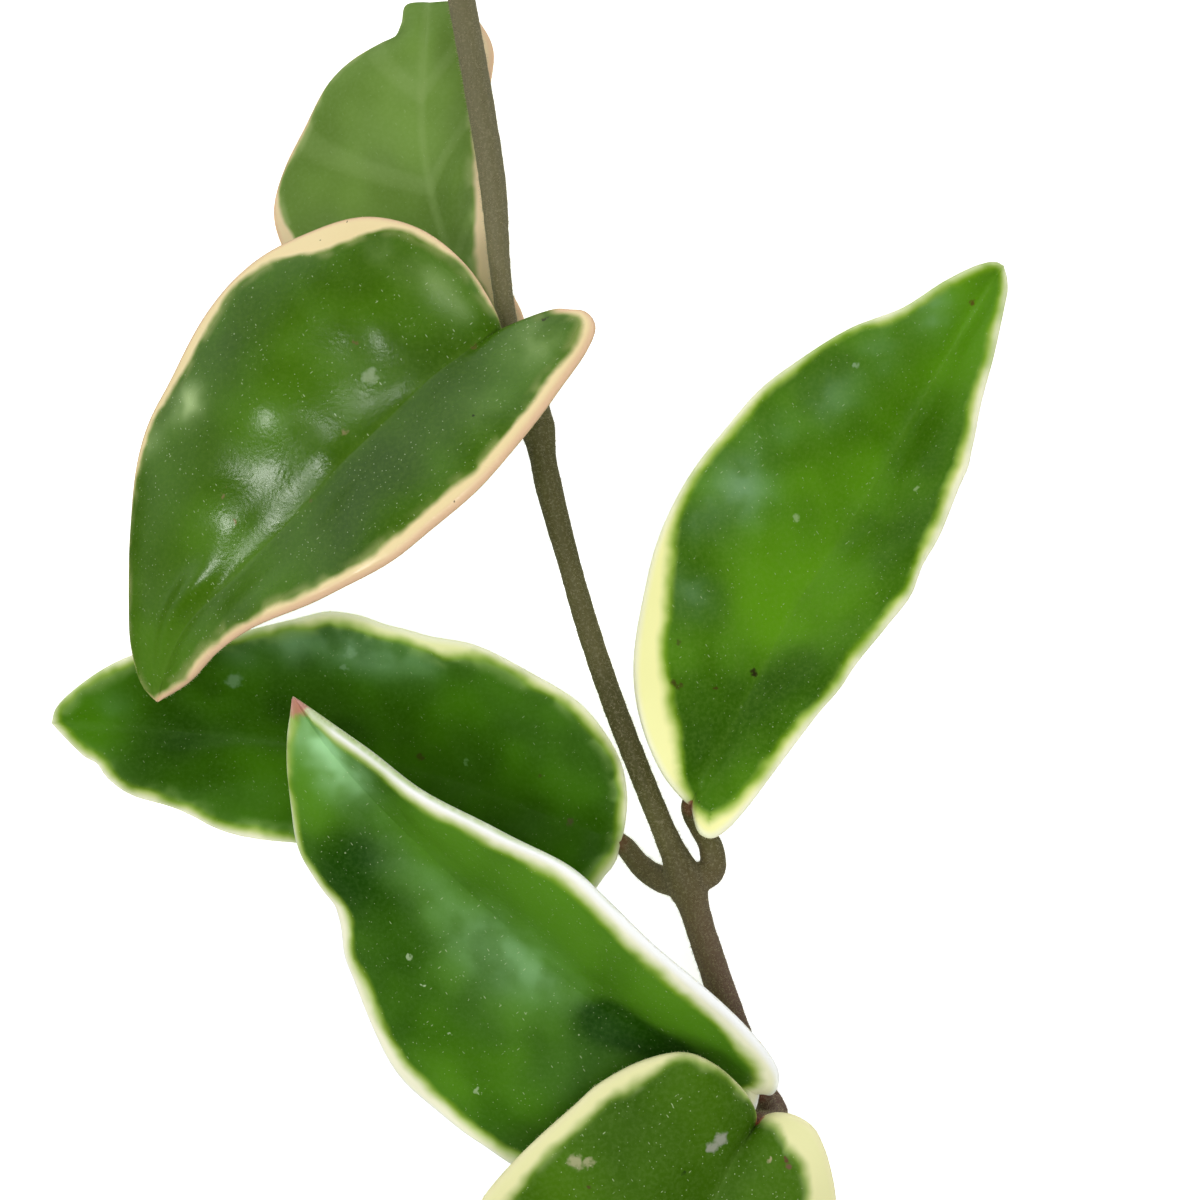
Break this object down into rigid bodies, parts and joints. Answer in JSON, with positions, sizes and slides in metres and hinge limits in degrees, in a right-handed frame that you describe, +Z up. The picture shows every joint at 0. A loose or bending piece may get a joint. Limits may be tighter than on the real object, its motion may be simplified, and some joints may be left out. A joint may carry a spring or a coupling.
{
  "type": "krimson queen hoya sprig",
  "caption": "Cut sprig of a climbing wax plant lying on a surface, with pairs of thick cream-edged leaves on a slender brown stem.",
  "frame": {"origin": "middle of the sprig's outline seen from above, on the surface it rests on", "axes": "+Z up from the surface, +Y up the vine from the old cut end to the young one, +X to the right of the vine seen from above"},
  "size_m": [0.1244, 0.219, 0.0335],
  "materials": {
    "bark": "matte brown young bark with a fine fringe of short hairs",
    "leaf_blade": "waxy semi-gloss green leaf with an irregular cream margin and fine pale flecks"
  },
  "bodies": {
    "root": {"stem": "bark", "upper_back_leaf": "leaf_blade", "upper_front_leaf": "leaf_blade", "middle_left_leaf": "leaf_blade", "middle_right_leaf": "leaf_blade", "lower_left_leaf": "leaf_blade", "bottom_leaf": "leaf_blade"}
  },
  "joints": []
}
